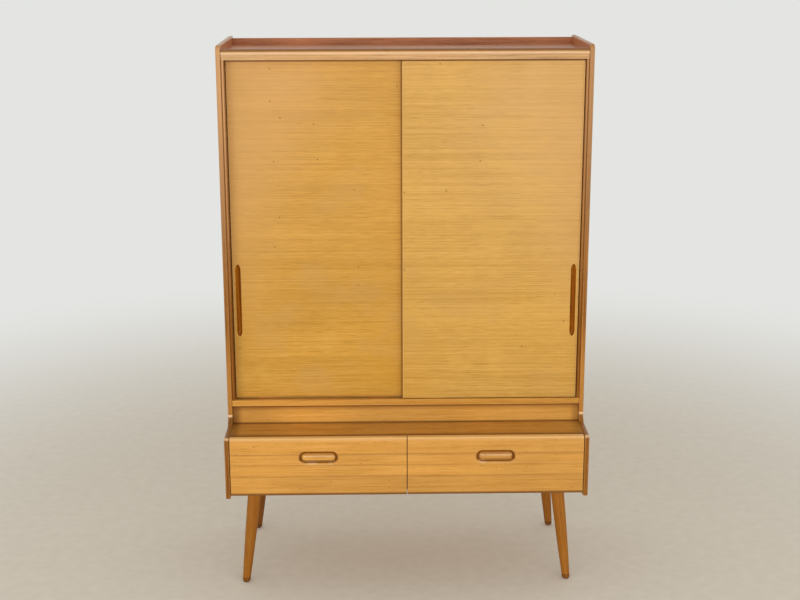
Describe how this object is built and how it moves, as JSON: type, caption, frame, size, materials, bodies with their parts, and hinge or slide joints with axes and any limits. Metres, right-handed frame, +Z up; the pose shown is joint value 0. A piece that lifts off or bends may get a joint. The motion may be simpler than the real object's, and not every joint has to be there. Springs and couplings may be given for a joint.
{
  "type": "highboard",
  "caption": "Tall wooden highboard on splayed legs: a shallow cabinet with sliding doors above a stepped-out base with drawers.",
  "frame": {"origin": "on the floor, under the middle of the overall box", "axes": "+Z up, +X to the right as seen from the front, -Y to the front where the doors and drawers are"},
  "size_m": [1, 0.486, 1.517],
  "materials": {
    "side_veneer": "satin lacquered walnut-toned veneer with lighter front lipping",
    "top_veneer": "polished reddish brown veneer",
    "lipping": "satin lacquered light lipping",
    "step_veneer": "satin lacquered brown veneer",
    "door_veneer": "satin lacquered honey veneer, grain across",
    "drawer_veneer": "satin lacquered honey veneer, grain across",
    "riser_veneer": "satin lacquered honey veneer, grain across",
    "door_pull_wood": "lacquered dark brown hardwood",
    "drawer_pull_wood": "lacquered golden hardwood",
    "leg_wood": "lacquered brown hardwood, darker at the feet",
    "inner_veneer": "matt lacquered plain veneer",
    "drawer_box_wood": "plain waxed hardwood",
    "raw_beech": "plain unfinished hardwood",
    "back_ply": "thin plywood",
    "glide_plastic": "dull dark plastic",
    "screw_steel": "dull steel",
    "pin_brass": "dull brass"
  },
  "bodies": {
    "carcass": {"back_panel_screws": "screw_steel", "base_panel": "inner_veneer", "cabinet_floor": "riser_veneer", "carcass_dowels": "raw_beech", "centre_partition": "inner_veneer", "door_jamb_left": "lipping", "door_jamb_right": "lipping", "drawer_divider": "inner_veneer", "drawer_left_inner_runner": "raw_beech", "drawer_left_outer_runner": "raw_beech", "drawer_right_inner_runner": "raw_beech", "drawer_right_outer_runner": "raw_beech", "gallery_rail": "top_veneer", "leg_back_left": "leg_wood", "leg_back_right": "leg_wood", "leg_block_back_left": "raw_beech", "leg_block_back_right": "raw_beech", "leg_block_front_left": "raw_beech", "leg_block_front_right": "raw_beech", "leg_block_screws": "screw_steel", "leg_front_left": "leg_wood", "leg_front_right": "leg_wood", "leg_glides": "glide_plastic", "lower_back_panel": "back_ply", "riser_panel": "riser_veneer", "runner_screws": "screw_steel", "shelf_lower_left": "inner_veneer", "shelf_lower_right": "inner_veneer", "shelf_pins": "pin_brass", "shelf_upper_left": "inner_veneer", "shelf_upper_right": "inner_veneer", "side_panel_left": "side_veneer", "side_panel_right": "side_veneer", "step_shelf": "step_veneer", "top_front_rail": "lipping", "top_panel": "top_veneer", "upper_back_panel": "back_ply", "upper_door_track": "lipping"},
    "door_left": {"door_left_glides": "glide_plastic", "door_left_panel": "door_veneer", "door_left_pull": "door_pull_wood"},
    "door_right": {"door_right_glides": "glide_plastic", "door_right_panel": "door_veneer", "door_right_pull": "door_pull_wood"},
    "drawer_left": {"drawer_left_back": "drawer_box_wood", "drawer_left_bottom": "back_ply", "drawer_left_dowels": "raw_beech", "drawer_left_front": "drawer_veneer", "drawer_left_inner_side": "drawer_box_wood", "drawer_left_outer_side": "drawer_box_wood", "drawer_left_pull": "drawer_pull_wood", "drawer_left_pull_screws": "screw_steel"},
    "drawer_right": {"drawer_right_back": "drawer_box_wood", "drawer_right_bottom": "back_ply", "drawer_right_dowels": "raw_beech", "drawer_right_front": "drawer_veneer", "drawer_right_inner_side": "drawer_box_wood", "drawer_right_outer_side": "drawer_box_wood", "drawer_right_pull": "drawer_pull_wood", "drawer_right_pull_screws": "screw_steel"}
  },
  "joints": [
    {"name": "left_door_slide", "type": "slide", "parent": "carcass", "child": "door_left", "axis": [1, 0, 0], "range_m": [0, 0.4685]},
    {"name": "right_door_slide", "type": "slide", "parent": "carcass", "child": "door_right", "axis": [1, 0, 0], "range_m": [-0.4685, 0]},
    {"name": "left_drawer_slide", "type": "slide", "parent": "carcass", "child": "drawer_left", "axis": [0, -1, 0], "range_m": [0, 0.3]},
    {"name": "right_drawer_slide", "type": "slide", "parent": "carcass", "child": "drawer_right", "axis": [0, -1, 0], "range_m": [0, 0.3]}
  ]
}
